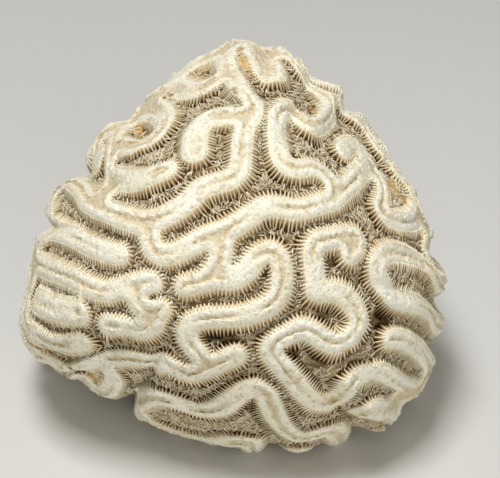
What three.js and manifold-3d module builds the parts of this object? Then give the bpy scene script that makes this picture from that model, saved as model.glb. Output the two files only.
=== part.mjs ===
import * as THREE from 'three';
import { mergeVertices } from 'three/addons/utils/BufferGeometryUtils.js';
import Module from 'manifold-3d';

// A grooved brain coral: one domed head of skeleton, cut off flat where it stood on rock.
// Long meandering walls stand between winding valleys. Millimetres, +Z up.

// Driving dimensions
const headHalfWidth = 43.0;      // from the middle of the head to its left or right side
const headHalfDepth = 43.0;      // from the middle to the front or back
const headRise = 40.0;           // from the middle up to the top of the dome
const headDrop = 42.0;           // how far the round form would go down if it were not cut
const headSquareness = 2.15;     // 2 is an ellipsoid, more is boxier
const cutDepth = 29.0;           // from the middle down to the flat cut
const valleyDepth = 3.0;         // from the top of a wall to the floor of a valley
const sinkTurn = 2.5;            // how far valleys on the seen side turn toward the sight line
const sinkUnder = 0.25;          // and how far under the wall above them, less toward the top
const underFade = 0.8;
const wallHalfWidth = 2.3;       // half the thickness of a wall, measured at mid height
const wallShoulder = 0.55;       // this far inside the wall's side its top is flat
const valleyFoot = -1.1;         // this far outside the wall's side the floor begins
const meanderPitch = 9.3;        // from one wall to the next where they run side by side
const middleOffset = [-0.18, -0.2];  // from the middle of the footprint to that of the head
const facetRings = 22;           // how finely the head is faceted

// How the head was seen: sizes and places below were read in picture points
const millimetresPerPoint = 0.2;
const middlePoint = [232, 245];  // where the middle of the head lies in the picture
const eyeHeight = 35 * Math.PI / 180;
const eyeDistance = 350;

// Shares of facing the eye, 0 at the rim and 1 at the middle of the picture
const tracedFacing = 0.36;       // above this all the walls are the followed ones
const blendBegins = 0.3;         // and about here they give way to the grown ones
const blendEnds = 0.45;
const wholeTurn = 0.4;           // above this the valleys have made their whole turn
const underBegins = 0.2;         // and here they begin and end to lean under the wall above
const underEnds = 0.7;
const fitBegins = 0.3;           // this far off the middle, the outline begins to tell

// The tops of the walls in the picture, each followed from end to end
const walls = {
  longWall: [[232, 43], [226, 56], [228, 68], [236, 79], [246, 90], [254, 102], [252, 114], [246, 126],
    [243, 140], [242, 155], [240, 168], [231, 178], [215, 182], [200, 188], [188, 200], [172, 211],
    [156, 218], [142, 219], [125, 215], [109, 210], [97, 206]],
  thumb: [[195, 150], [195, 138], [199, 126], [209, 117], [223, 114], [237, 115], [249, 117]],
  browWall: [[172, 84], [188, 89], [203, 86], [216, 79], [228, 71]],
  topLip: [[183, 72], [188, 65], [203, 58], [218, 53], [229, 47]],
  browEnd: [[172, 84], [163, 88], [153, 97], [146, 106]],
  shoulderLip: [[133, 118], [120, 123], [108, 129], [99, 138], [95, 150], [98, 162]],
  shoulderWall: [[119, 126], [114, 138], [111, 152], [109, 168], [107, 185], [103, 199], [97, 206]],
  pitLoop: [[113, 143], [128, 144], [143, 142], [156, 134], [164, 123], [162, 112], [151, 108],
    [140, 112], [133, 118]],
  finger: [[110, 176], [125, 179], [140, 178], [153, 173], [166, 168]],
  earLoop: [[57, 228], [49, 214], [50, 199], [58, 187], [70, 180], [80, 186], [86, 198], [97, 206]],
  greatWall: [[97, 206], [112, 212], [127, 219], [141, 224], [149, 234], [152, 247], [163, 254],
    [177, 251], [191, 244], [206, 236], [222, 231], [238, 223], [252, 214], [264, 207], [280, 206],
    [295, 209], [310, 207], [323, 203], [334, 200]],
  bridge: [[223, 233], [222, 247], [219, 260], [213, 269], [207, 278]],
  bigLoop: [[184, 285], [200, 281], [217, 277], [231, 278], [245, 271], [254, 260], [262, 253],
    [270, 251], [278, 256], [282, 267], [282, 281], [279, 294], [270, 304], [256, 311], [238, 316],
    [218, 317], [202, 318], [190, 323], [185, 333], [190, 344], [198, 354], [204, 364]],
  crown: [[232, 43], [243, 42], [254, 47], [261, 57], [267, 67], [272, 74]],
  serpent: [[276, 52], [288, 54], [297, 62], [304, 73], [312, 84], [322, 92], [331, 99], [334, 109],
    [328, 119], [318, 126], [307, 123], [299, 114], [290, 107], [281, 113], [278, 127], [278, 142],
    [281, 155], [289, 165], [300, 168], [311, 166], [322, 170], [331, 178], [336, 189], [334, 200]],
  rightLip: [[343, 105], [353, 115], [364, 122], [372, 134], [379, 147], [386, 156], [391, 165],
    [399, 173], [408, 184], [415, 197], [420, 210], [414, 222], [401, 222], [389, 216], [382, 208]],
  hookFork: [[344, 150], [353, 144], [363, 149], [368, 160], [362, 172], [353, 183], [343, 192],
    [334, 200]],
  rightFold: [[368, 160], [376, 169], [382, 181], [385, 195], [382, 208]],
  rightNub: [[427, 229], [430, 240], [427, 251]],
  rightLoopTop: [[379, 275], [378, 264], [386, 255], [398, 254], [412, 258], [426, 264], [436, 274],
    [441, 287]],
  rightLoopFoot: [[379, 275], [385, 288], [394, 298], [408, 303], [422, 307], [432, 314], [437, 326]],
  wanderer: [[351, 254], [358, 247], [357, 237], [345, 236], [331, 239], [318, 242], [313, 252],
    [314, 264], [315, 277], [317, 290], [330, 291], [342, 294], [351, 302], [358, 312], [360, 322],
    [355, 332], [347, 340], [337, 344], [326, 341], [314, 333], [302, 329], [290, 334], [278, 340],
    [270, 351], [281, 366], [293, 380], [303, 393], [315, 403], [328, 404], [340, 397], [350, 386],
    [362, 376], [374, 371], [386, 377], [398, 385], [411, 391]],
  rightSpur: [[391, 340], [403, 341], [414, 347], [424, 356], [430, 367]],
  leftTongue: [[40, 238], [54, 231], [68, 233], [82, 240], [96, 247], [110, 252], [119, 253]],
  leftWall: [[36, 262], [48, 268], [62, 273], [76, 279], [90, 286], [104, 290], [118, 288], [131, 284],
    [143, 281], [151, 281]],
  leftBridge: [[131, 284], [134, 296], [141, 307], [152, 312], [160, 308]],
  leftCurl: [[107, 324], [118, 325], [131, 328], [143, 327], [152, 321], [154, 312]],
  leftSpur: [[36, 298], [50, 306], [64, 310], [77, 311]],
  wornMargin: [[36, 262], [30, 280], [26, 298], [24, 316], [30, 331], [42, 338], [56, 342], [70, 343],
    [80, 341]],
  leftLip: [[36, 352], [47, 360], [60, 366]],
  lowerWall: [[80, 366], [90, 362], [102, 358], [116, 357], [130, 358], [145, 360], [160, 361],
    [172, 367], [185, 373], [198, 371], [210, 366], [222, 361], [235, 355]],
  footLoop: [[100, 360], [107, 370], [112, 381], [107, 391], [97, 393], [86, 385], [83, 377]],
  frontWall: [[138, 400], [151, 397], [166, 400], [182, 405], [198, 410], [214, 409], [228, 402],
    [240, 393], [253, 388], [264, 393], [270, 405], [275, 418], [283, 430], [295, 438], [309, 438],
    [323, 434], [336, 433]],
  frontLip: [[134, 408], [147, 421], [163, 429], [181, 435], [199, 440], [217, 443], [235, 441],
    [251, 443]],
  cornerKnob: [[361, 415], [372, 412], [383, 412], [392, 407]],
};
// Broader than the others: how much is added to half their thickness
const broadWalls = {
  thumb: 0.6, finger: 0.35, leftSpur: 0.4, leftCurl: 0.2, crown: 1.1, cornerKnob: 0.5, wornMargin: 0.3,
  topLip: 0.9, browWall: 0.7, browEnd: 0.5, pitLoop: 0.7, shoulderLip: 0.3, frontWall: 0.35,
  lowerWall: 0.15,
};
// These ends pass over the edge of the view and go on round the head
const overTheEdge = {
  longWall: 'start', browEnd: 'end', topLip: 'start', serpent: 'start', rightNub: 'start',
  rightLoopTop: 'end', rightLoopFoot: 'end', rightSpur: 'end', wanderer: 'end', cornerKnob: 'end',
  frontWall: 'end', frontLip: 'end', footLoop: 'end', leftLip: 'start', leftTongue: 'start',
  leftWall: 'start',
};

// The outline of the head in the picture, clockwise from the top, at the tops of its lobes
// and at the notches between them
const outlinePoints = [
  [250, 35], [272, 48], [291, 44], [308, 63], [313, 78], [324, 81], [345, 86], [349, 106],
  [366, 115], [377, 134], [391, 152], [393, 163], [401, 166], [412, 183], [420, 199], [427, 215],
  [426, 222], [435, 235], [434, 254], [448, 276], [446, 292], [436, 302], [443, 314], [443, 325],
  [437, 339], [437, 350], [435, 366], [425, 385], [416, 401], [401, 402], [399, 414], [387, 434],
  [366, 433], [356, 429], [342, 444], [320, 452], [300, 456], [286, 454], [270, 450], [254, 454],
  [229, 453], [205, 445], [181, 438], [152, 428], [132, 416], [131, 396], [112, 402], [92, 392],
  [76, 378], [55, 377], [40, 361], [22, 344], [17, 320], [23, 298], [26, 276], [31, 252],
  [32, 245], [38, 232], [51, 225], [43, 216], [49, 199], [57, 186], [70, 176], [84, 170],
  [90, 147], [99, 130], [111, 119], [128, 118], [142, 102], [154, 84], [172, 75], [188, 64],
  [206, 53], [228, 41],
];

// Directions of the view: right, up and towards the eye
const viewRight = new THREE.Vector3(1, 0, 0);
const viewUp = new THREE.Vector3(0, Math.sin(eyeHeight), Math.cos(eyeHeight));
const viewBack = new THREE.Vector3(0, -Math.cos(eyeHeight), Math.sin(eyeHeight));

function smoothStep(from, to, value) {
  const t = Math.min(1, Math.max(0, (value - from) / (to - from)));
  return t * t * (3 - 2 * t);
}

function toMillimetres([x, y]) {
  const right = (x - middlePoint[0]) * millimetresPerPoint;
  const up = (middlePoint[1] - y) * millimetresPerPoint;
  return [right, up];
}

// The round form of the head, before its outline is fitted
function roundRadius(direction) {
  const half = direction.z > 0 ? headRise : headDrop;
  const sum = Math.abs(direction.x / headHalfWidth) ** headSquareness
    + Math.abs(direction.y / headHalfDepth) ** headSquareness
    + Math.abs(direction.z / half) ** headSquareness;
  return sum ** (-1 / headSquareness);
}

function directionAt(around, away) {
  return new THREE.Vector3()
    .addScaledVector(viewBack, Math.cos(away))
    .addScaledVector(viewRight, Math.sin(away) * Math.cos(around))
    .addScaledVector(viewUp, Math.sin(away) * Math.sin(around));
}

// How far out the round form reaches in the picture, at one angle around the view
function reachAt(around) {
  let reach = 0;
  for (let degrees = 60; degrees <= 110; degrees += 1) {
    const away = degrees * Math.PI / 180;
    const radius = roundRadius(directionAt(around, away));
    const seen = radius * Math.sin(away) * eyeDistance / (eyeDistance - radius * Math.cos(away));
    reach = Math.max(reach, seen);
  }
  return reach;
}

// Radius of the pictured outline at one angle, straight between its points
function outlineRadiusAt(around) {
  for (let i = 0; i < outlinePoints.length; i += 1) {
    const [ax, ay] = toMillimetres(outlinePoints[i]);
    const [bx, by] = toMillimetres(outlinePoints[(i + 1) % outlinePoints.length]);
    const dx = Math.cos(around);
    const dy = Math.sin(around);
    const sideA = dx * ay - dy * ax;
    const sideB = dx * by - dy * bx;
    if (sideA >= 0 && sideB < 0 && ax * dx + ay * dy > 0) {
      const t = sideA / (sideA - sideB);
      return (ax + (bx - ax) * t) * dx + (ay + (by - ay) * t) * dy;
    }
  }
  return headHalfWidth;
}

// Outline against round form for every degree around the view, lightly smoothed
const degreesAround = 360;
const rawFit = Array.from({ length: degreesAround }, (_, degree) => {
  const around = degree * Math.PI / 180;
  return outlineRadiusAt(around) / reachAt(around);
});
const outlineFit = rawFit.map((fit, degree) => {
  const before = rawFit[(degree + degreesAround - 1) % degreesAround];
  const after = rawFit[(degree + 1) % degreesAround];
  return (before + fit + after) / 3;
});

function headRadius(direction) {
  const right = direction.dot(viewRight);
  const up = direction.dot(viewUp);
  const turns = Math.atan2(up, right) / (2 * Math.PI);
  const degree = (turns - Math.floor(turns)) * degreesAround;
  const low = Math.floor(degree) % degreesAround;
  const fit = THREE.MathUtils.lerp(
    outlineFit[low], outlineFit[(low + 1) % degreesAround], degree - Math.floor(degree));
  const strength = smoothStep(fitBegins, 1, Math.hypot(right, up));
  return roundRadius(direction) * (1 + strength * (fit - 1));
}

// A picture point carried onto the head along the line of sight, or null beside it
function ontoHead(point) {
  const [right, up] = toMillimetres(point);
  const eye = viewBack.clone().multiplyScalar(eyeDistance);
  const sight = new THREE.Vector3()
    .addScaledVector(viewRight, right)
    .addScaledVector(viewUp, up)
    .sub(eye)
    .normalize();
  const place = (t) => eye.clone().addScaledVector(sight, t);
  const outside = (t) => {
    const p = place(t);
    return p.length() - headRadius(p.clone().normalize());
  };
  let near = eyeDistance - 60;
  const far = eyeDistance + 25;
  while (near < far && outside(near + 1) > 0) {
    near += 1;
  }
  if (near >= far) {
    return null;
  }
  let reached = near + 1;
  for (let i = 0; i < 16; i += 1) {
    const middle = (near + reached) / 2;
    if (outside(middle) > 0) {
      near = middle;
    } else {
      reached = middle;
    }
  }
  return place(reached);
}

function onHead(direction) {
  return direction.clone().multiplyScalar(headRadius(direction));
}

// The way on from the edge of the view, straight away from the eye along the head
const edgeStep = 0.4;
const edgeSteps = 35;
function roundTheEdge(place) {
  const places = [];
  let last = place;
  for (let i = 0; i < edgeSteps; i += 1) {
    const up = last.clone().normalize();
    const away = up.clone().multiplyScalar(viewBack.dot(up)).sub(viewBack).normalize();
    last = onHead(last.clone().addScaledVector(away, edgeStep).normalize());
    places.push(last);
  }
  return places;
}

// Each wall as closely spaced places on the head
const wallPlaces = [];
for (const [name, points] of Object.entries(walls)) {
  const line = new THREE.CatmullRomCurve3(
    points.map(([x, y]) => new THREE.Vector3(x, y, 0)), false, 'centripetal');
  const count = Math.ceil(line.getLength() / 2.5);
  const seen = line.getSpacedPoints(count).map((at) => ontoHead([at.x, at.y])).filter(Boolean);
  const end = overTheEdge[name] === 'start' ? seen[0] : seen[seen.length - 1];
  const beyond = overTheEdge[name] ? roundTheEdge(end) : [];
  const halfWidth = wallHalfWidth + (broadWalls[name] ?? 0);
  for (const place of [...seen, ...beyond]) {
    wallPlaces.push({ place, halfWidth });
  }
}

function seenSideAt(p) {
  let nearest = Infinity;
  let halfWidth = wallHalfWidth;
  for (const wall of wallPlaces) {
    const squared = wall.place.distanceToSquared(p);
    if (squared < nearest) {
      nearest = squared;
      halfWidth = wall.halfWidth;
    }
  }
  return halfWidth - Math.sqrt(nearest);
}

// Growth: evenly spread cells, each part wall or part valley. Near neighbours pull a cell
// their own way and further ones push it the other way, so the walls that were seen go on
// over the sides and the back as winding lines at the same pitch.
const cellCount = 6000;
const nearReach = meanderPitch / 6.54;
const farReach = nearReach * 2;
const smallestRadius = 30;
const goldenAngle = Math.PI * (3 - Math.sqrt(5));

function cellDirection(index) {
  const z = 1 - (2 * index + 1) / cellCount;
  const ring = Math.sqrt(1 - z * z);
  const turn = index * goldenAngle;
  return new THREE.Vector3(ring * Math.cos(turn), ring * Math.sin(turn), z);
}

const cells = [];
for (let index = 0; index < cellCount; index += 1) {
  const direction = cellDirection(index);
  const place = direction.clone().multiplyScalar(headRadius(direction));
  const wallSide = seenSideAt(place);
  const fixed = direction.dot(viewBack) > tracedFacing || wallSide > -1.0;
  const start = ((index * index * 31 + index * 7919) % 1013) / 1013 - 0.5;
  cells.push({ place, fixed, value: fixed ? Math.tanh(wallSide * 1.2) : start });
}

// The cells run from the top of the head to its foot, so those near a place lie in one band
function cellsNear(place, reach) {
  const height = place.z / place.length();
  const spread = reach / smallestRadius;
  const first = Math.max(0, Math.floor((1 - height - spread) * cellCount / 2));
  const last = Math.min(cellCount, Math.ceil((1 - height + spread) * cellCount / 2));
  const near = [];
  for (let index = first; index < last; index += 1) {
    const squared = cells[index].place.distanceToSquared(place);
    if (squared < reach * reach) {
      near.push([index, squared]);
    }
  }
  return near;
}

for (const cell of cells) {
  cell.links = cellsNear(cell.place, farReach * 3).map(([index, squared]) => {
    const pull = 4 * Math.exp(-squared / (2 * nearReach ** 2));
    const push = Math.exp(-squared / (2 * farReach ** 2));
    return [index, pull - push];
  });
  const average = cell.links.reduce((sum, link) => sum + link[1], 0) / cell.links.length;
  cell.links.forEach((link) => {
    link[1] -= average;
  });
}

for (let season = 0; season < 80; season += 1) {
  const grown = cells.map((cell) => {
    if (cell.fixed) {
      return cell.value;
    }
    const sum = cell.links.reduce((total, [other, weight]) => total + weight * cells[other].value, 0);
    return Math.tanh(0.9 * sum);
  });
  cells.forEach((cell, index) => {
    cell.value = grown[index];
  });
}

// How far a place is inside a wall (above zero) or out in a valley (below zero)
const blurReach = 1.25;
const blurPeak = 0.9;
function wallSideAt(p) {
  let weights = 0;
  let sum = 0;
  for (const [index, squared] of cellsNear(p, blurReach * 3)) {
    const weight = Math.exp(-squared / (2 * blurReach ** 2));
    weights += weight;
    sum += weight * cells[index].value;
  }
  const wave = Math.min(1, Math.max(-1, sum / weights / blurPeak));
  const grownSide = Math.asin(wave) * meanderPitch / (2 * Math.PI);
  const facing = p.clone().normalize().dot(viewBack);
  const seen = smoothStep(blendBegins, blendEnds, facing);
  if (seen === 0) {
    return grownSide;
  }
  return THREE.MathUtils.lerp(grownSide, seenSideAt(p), seen);
}

function bareGeometry(geometry) {
  geometry.deleteAttribute('normal');
  geometry.deleteAttribute('uv');
  return mergeVertices(geometry, 1e-4);
}

// Slides a facet corner along the head onto the nearest edge of a wall, its shoulder or its
// foot, so that the facets follow the walls
const slideLimit = 1.05;
const probe = 0.35;
function slideToEdge(direction) {
  const east = new THREE.Vector3(-direction.y, direction.x, 0);
  if (east.lengthSq() < 1e-9) {
    east.set(1, 0, 0);
  }
  east.normalize();
  const north = direction.clone().cross(east);
  const start = onHead(direction);
  const side = wallSideAt(start);
  const sideEast = wallSideAt(start.clone().addScaledVector(east, probe)) - side;
  const sideNorth = wallSideAt(start.clone().addScaledVector(north, probe)) - side;
  const slope = new THREE.Vector3()
    .addScaledVector(east, sideEast / probe)
    .addScaledVector(north, sideNorth / probe);
  const toShoulder = wallShoulder - side;
  const toFoot = valleyFoot - side;
  const goal = Math.abs(toShoulder) < Math.abs(toFoot) ? toShoulder : toFoot;
  const slide = goal / Math.max(0.4, slope.length());
  if (Math.abs(slide) > slideLimit) {
    return direction;
  }
  return direction.clone().addScaledVector(slope.normalize(), slide / start.length()).normalize();
}

// A finely faceted ball, its corners evened out and slid in turn
const grownHead = bareGeometry(new THREE.IcosahedronGeometry(1, facetRings));
const corners = grownHead.attributes.position;
const neighbours = Array.from({ length: corners.count }, () => new Set());
const faces = grownHead.index.array;
for (let i = 0; i < faces.length; i += 3) {
  for (let side = 0; side < 3; side += 1) {
    neighbours[faces[i + side]].add(faces[i + (side + 1) % 3]);
    neighbours[faces[i + side]].add(faces[i + (side + 2) % 3]);
  }
}
let directions = neighbours.map((_, i) => (
  new THREE.Vector3().fromBufferAttribute(corners, i).normalize()));
const slidingPasses = 5;
const evening = 0.5;
for (let pass = 0; pass < slidingPasses; pass += 1) {
  const slid = directions.map(slideToEdge);
  const last = pass === slidingPasses - 1;
  directions = last ? slid : slid.map((direction, i) => {
    const middle = new THREE.Vector3();
    neighbours[i].forEach((other) => middle.add(slid[other]));
    middle.normalize();
    return direction.clone().lerp(middle, evening).normalize();
  });
}

// The way a valley sinks: toward the head's middle, and on the seen side turned toward the
// sight line, so that a floor lies midway between its walls
function sinkWay(direction) {
  const facing = direction.dot(viewBack);
  const turn = sinkTurn * smoothStep(0, wholeTurn, facing);
  const lean = sinkUnder * smoothStep(underBegins, underEnds, facing);
  const under = lean * (1 - underFade * direction.dot(viewUp));
  return direction.clone()
    .addScaledVector(viewBack, turn)
    .addScaledVector(viewUp, turn * under)
    .normalize();
}

// Each corner sinks to its height between wall top and valley floor
directions.forEach((direction, i) => {
  const place = onHead(direction);
  const side = wallSideAt(place);
  const height = THREE.MathUtils.clamp((side - valleyFoot) / (wallShoulder - valleyFoot), 0, 1);
  place.addScaledVector(sinkWay(direction), -valleyDepth * (1 - height));
  corners.setXYZ(i, place.x, place.y, place.z);
});

// The flat cut
const wasm = await Module();
wasm.setup();

function toSolid(geometry) {
  return new wasm.Manifold(new wasm.Mesh({
    numProp: 3,
    vertProperties: new Float32Array(geometry.attributes.position.array),
    triVerts: new Uint32Array(geometry.index.array),
  }));
}

function toGeometry(solid) {
  const mesh = solid.getMesh();
  const geometry = new THREE.BufferGeometry();
  geometry.setAttribute('position', new THREE.BufferAttribute(mesh.vertProperties, 3));
  geometry.setIndex(new THREE.BufferAttribute(mesh.triVerts, 1));
  return geometry;
}

const rockSize = 120;
const rock = new THREE.BoxGeometry(rockSize, rockSize, rockSize);
rock.translate(0, 0, -cutDepth - rockSize / 2);
const coralGeometry = toGeometry(toSolid(grownHead).subtract(toSolid(bareGeometry(rock))));

// Stood on its cut, with the middle of its footprint box at the origin
coralGeometry.translate(middleOffset[0], middleOffset[1], cutDepth);

const skeleton = new THREE.MeshStandardMaterial({ color: 0xeee3c8, roughness: 0.8, metalness: 0 });
const coral = new THREE.Mesh(coralGeometry, skeleton);
coral.name = 'coral';

const group = new THREE.Group();
group.add(coral);

export default group;
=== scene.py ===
import math
import bpy
import numpy as np
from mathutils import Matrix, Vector, kdtree


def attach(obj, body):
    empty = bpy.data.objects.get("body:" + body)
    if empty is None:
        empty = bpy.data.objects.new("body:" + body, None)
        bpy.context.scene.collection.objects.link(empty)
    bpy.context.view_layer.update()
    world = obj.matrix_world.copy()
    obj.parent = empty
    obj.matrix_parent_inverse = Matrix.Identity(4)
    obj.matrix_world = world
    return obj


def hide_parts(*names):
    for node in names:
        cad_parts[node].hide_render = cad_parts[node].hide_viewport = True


# A grooved brain coral: a domed head of dry skeleton with winding double-crested walls.
# Shapes are worked out in millimetres about the middle of the head, and placed in the frame
# in metres when they become meshes.

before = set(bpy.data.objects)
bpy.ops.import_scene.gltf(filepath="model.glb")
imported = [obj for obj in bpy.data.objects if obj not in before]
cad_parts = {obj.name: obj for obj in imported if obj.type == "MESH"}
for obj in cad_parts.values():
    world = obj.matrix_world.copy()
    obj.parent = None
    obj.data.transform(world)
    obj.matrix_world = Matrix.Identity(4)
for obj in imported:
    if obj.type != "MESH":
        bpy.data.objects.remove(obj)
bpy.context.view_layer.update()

head = {
    "halfWidth": 43.0,            # to the left and right sides
    "halfDepth": 43.0,            # to the front and back
    "rise": 40.0,                 # up to the top of the dome
    "drop": 42.0,                 # how far the round form would go down if it were not cut
    "squareness": 2.15,           # 2 is an ellipsoid, more is boxier
    "cutDepth": 29.0,             # down to the flat cut
    "middleOffset": (-0.18, -0.2),  # from the middle of the footprint to that of the head
    "sinkTurn": 2.5,              # how far valleys on the seen side turn toward the sight line
    "sinkUnder": 0.25,            # how far they turn under the wall above them
    "underFade": 0.8,             # how much less they do so toward the top of the picture
    "wallHalfWidth": 2.3,         # half the thickness of a wall, measured at mid height
    "meanderPitch": 9.3,          # from one wall to the next where they run side by side
}

# How the head was seen, and what the picture's points measure on it
photoView = {
    "width": 500, "height": 478,
    "millimetresPerPoint": 0.2,
    "middlePoint": (232, 245),     # where the middle of the head lies in the picture
    "eyeHeight": math.radians(35),
    "eyeDistance": 350.0,
    "headDistance": 290.0,         # nearer to the eye than this there is no place on the head
}

# Shares of facing the eye, 0 at the rim and 1 at the middle of the picture
facingShares = {
    "traced": 0.36,               # above this all the walls are the followed ones
    "blend": (0.3, 0.45),         # between these they give way to the grown ones
    "turn": (0.0, 0.4),           # between these the valleys turn toward the sight line
    "under": (0.2, 0.7),          # and between these they come to lean under the wall above
}
outlineTells = (0.3, 1.0)         # this far off the middle, the outline begins to tell and is met

eyeHeight = photoView["eyeHeight"]
viewRight = np.array([1.0, 0.0, 0.0])
viewUp = np.array([0.0, math.sin(eyeHeight), math.cos(eyeHeight)])
viewBack = np.array([0.0, -math.cos(eyeHeight), math.sin(eyeHeight)])

# The outline of the head in the picture, clockwise from the top, at the tops of its lobes
# and at the notches between them
outlinePoints = [
    (250, 35), (272, 48), (291, 44), (308, 63), (313, 78), (324, 81), (345, 86), (349, 106),
    (366, 115), (377, 134), (391, 152), (393, 163), (401, 166), (412, 183), (420, 199), (427, 215),
    (426, 222), (435, 235), (434, 254), (448, 276), (446, 292), (436, 302), (443, 314), (443, 325),
    (437, 339), (437, 350), (435, 366), (425, 385), (416, 401), (401, 402), (399, 414), (387, 434),
    (366, 433), (356, 429), (342, 444), (320, 452), (300, 456), (286, 454), (270, 450), (254, 454),
    (229, 453), (205, 445), (181, 438), (152, 428), (132, 416), (131, 396), (112, 402), (92, 392),
    (76, 378), (55, 377), (40, 361), (22, 344), (17, 320), (23, 298), (26, 276), (31, 252),
    (32, 245), (38, 232), (51, 225), (43, 216), (49, 199), (57, 186), (70, 176), (84, 170),
    (90, 147), (99, 130), (111, 119), (128, 118), (142, 102), (154, 84), (172, 75), (188, 64),
    (206, 53), (228, 41),
]
# The tops of the walls in the picture, each followed from end to end
walls = {
    "longWall": [(232, 43), (226, 56), (228, 68), (236, 79), (246, 90), (254, 102), (252, 114), (246, 126),
        (243, 140), (242, 155), (240, 168), (231, 178), (215, 182), (200, 188), (188, 200), (172, 211),
        (156, 218), (142, 219), (125, 215), (109, 210), (97, 206)],
    "thumb": [(195, 150), (195, 138), (199, 126), (209, 117), (223, 114), (237, 115), (249, 117)],
    "browWall": [(172, 84), (188, 89), (203, 86), (216, 79), (228, 71)],
    "topLip": [(183, 72), (188, 65), (203, 58), (218, 53), (229, 47)],
    "browEnd": [(172, 84), (163, 88), (153, 97), (146, 106)],
    "shoulderLip": [(133, 118), (120, 123), (108, 129), (99, 138), (95, 150), (98, 162)],
    "shoulderWall": [(119, 126), (114, 138), (111, 152), (109, 168), (107, 185), (103, 199), (97, 206)],
    "pitLoop": [(113, 143), (128, 144), (143, 142), (156, 134), (164, 123), (162, 112), (151, 108),
        (140, 112), (133, 118)],
    "finger": [(110, 176), (125, 179), (140, 178), (153, 173), (166, 168)],
    "earLoop": [(57, 228), (49, 214), (50, 199), (58, 187), (70, 180), (80, 186), (86, 198), (97, 206)],
    "greatWall": [(97, 206), (112, 212), (127, 219), (141, 224), (149, 234), (152, 247), (163, 254),
        (177, 251), (191, 244), (206, 236), (222, 231), (238, 223), (252, 214), (264, 207), (280, 206),
        (295, 209), (310, 207), (323, 203), (334, 200)],
    "bridge": [(223, 233), (222, 247), (219, 260), (213, 269), (207, 278)],
    "bigLoop": [(184, 285), (200, 281), (217, 277), (231, 278), (245, 271), (254, 260), (262, 253),
        (270, 251), (278, 256), (282, 267), (282, 281), (279, 294), (270, 304), (256, 311), (238, 316),
        (218, 317), (202, 318), (190, 323), (185, 333), (190, 344), (198, 354), (204, 364)],
    "crown": [(232, 43), (243, 42), (254, 47), (261, 57), (267, 67), (272, 74)],
    "serpent": [(276, 52), (288, 54), (297, 62), (304, 73), (312, 84), (322, 92), (331, 99), (334, 109),
        (328, 119), (318, 126), (307, 123), (299, 114), (290, 107), (281, 113), (278, 127), (278, 142),
        (281, 155), (289, 165), (300, 168), (311, 166), (322, 170), (331, 178), (336, 189), (334, 200)],
    "rightLip": [(343, 105), (353, 115), (364, 122), (372, 134), (379, 147), (386, 156), (391, 165),
        (399, 173), (408, 184), (415, 197), (420, 210), (414, 222), (401, 222), (389, 216), (382, 208)],
    "hookFork": [(344, 150), (353, 144), (363, 149), (368, 160), (362, 172), (353, 183), (343, 192),
        (334, 200)],
    "rightFold": [(368, 160), (376, 169), (382, 181), (385, 195), (382, 208)],
    "rightNub": [(427, 229), (430, 240), (427, 251)],
    "rightLoopTop": [(379, 275), (378, 264), (386, 255), (398, 254), (412, 258), (426, 264), (436, 274),
        (441, 287)],
    "rightLoopFoot": [(379, 275), (385, 288), (394, 298), (408, 303), (422, 307), (432, 314), (437, 326)],
    "wanderer": [(351, 254), (358, 247), (357, 237), (345, 236), (331, 239), (318, 242), (313, 252),
        (314, 264), (315, 277), (317, 290), (330, 291), (342, 294), (351, 302), (358, 312), (360, 322),
        (355, 332), (347, 340), (337, 344), (326, 341), (314, 333), (302, 329), (290, 334), (278, 340),
        (270, 351), (281, 366), (293, 380), (303, 393), (315, 403), (328, 404), (340, 397), (350, 386),
        (362, 376), (374, 371), (386, 377), (398, 385), (411, 391)],
    "rightSpur": [(391, 340), (403, 341), (414, 347), (424, 356), (430, 367)],
    "leftTongue": [(40, 238), (54, 231), (68, 233), (82, 240), (96, 247), (110, 252), (119, 253)],
    "leftWall": [(36, 262), (48, 268), (62, 273), (76, 279), (90, 286), (104, 290), (118, 288), (131, 284),
        (143, 281), (151, 281)],
    "leftBridge": [(131, 284), (134, 296), (141, 307), (152, 312), (160, 308)],
    "leftCurl": [(107, 324), (118, 325), (131, 328), (143, 327), (152, 321), (154, 312)],
    "leftSpur": [(36, 298), (50, 306), (64, 310), (77, 311)],
    "wornMargin": [(36, 262), (30, 280), (26, 298), (24, 316), (30, 331), (42, 338), (56, 342), (70, 343),
        (80, 341)],
    "leftLip": [(36, 352), (47, 360), (60, 366)],
    "lowerWall": [(80, 366), (90, 362), (102, 358), (116, 357), (130, 358), (145, 360), (160, 361),
        (172, 367), (185, 373), (198, 371), (210, 366), (222, 361), (235, 355)],
    "footLoop": [(100, 360), (107, 370), (112, 381), (107, 391), (97, 393), (86, 385), (83, 377)],
    "frontWall": [(138, 400), (151, 397), (166, 400), (182, 405), (198, 410), (214, 409), (228, 402),
        (240, 393), (253, 388), (264, 393), (270, 405), (275, 418), (283, 430), (295, 438), (309, 438),
        (323, 434), (336, 433)],
    "frontLip": [(134, 408), (147, 421), (163, 429), (181, 435), (199, 440), (217, 443), (235, 441),
        (251, 443)],
    "cornerKnob": [(361, 415), (372, 412), (383, 412), (392, 407)],
}
# broader than the others: how much is added to half their thickness, in millimetres
broadWalls = {
    "thumb": 0.6, "finger": 0.35, "leftSpur": 0.4, "leftCurl": 0.2, "crown": 1.1, "cornerKnob": 0.5,
    "wornMargin": 0.3, "topLip": 0.9, "browWall": 0.7, "browEnd": 0.5, "pitLoop": 0.7,
    "shoulderLip": 0.3, "frontWall": 0.35, "lowerWall": 0.15,
}
# these ends pass over the edge of the view and go on round the head
overTheEdge = {
    "longWall": "start", "browEnd": "end", "topLip": "start", "serpent": "start",
    "rightNub": "start", "rightLoopTop": "end", "rightLoopFoot": "end", "rightSpur": "end",
    "wanderer": "end", "cornerKnob": "end", "frontWall": "end", "frontLip": "end",
    "footLoop": "end", "leftLip": "start", "leftTongue": "start", "leftWall": "start",
}


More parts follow.
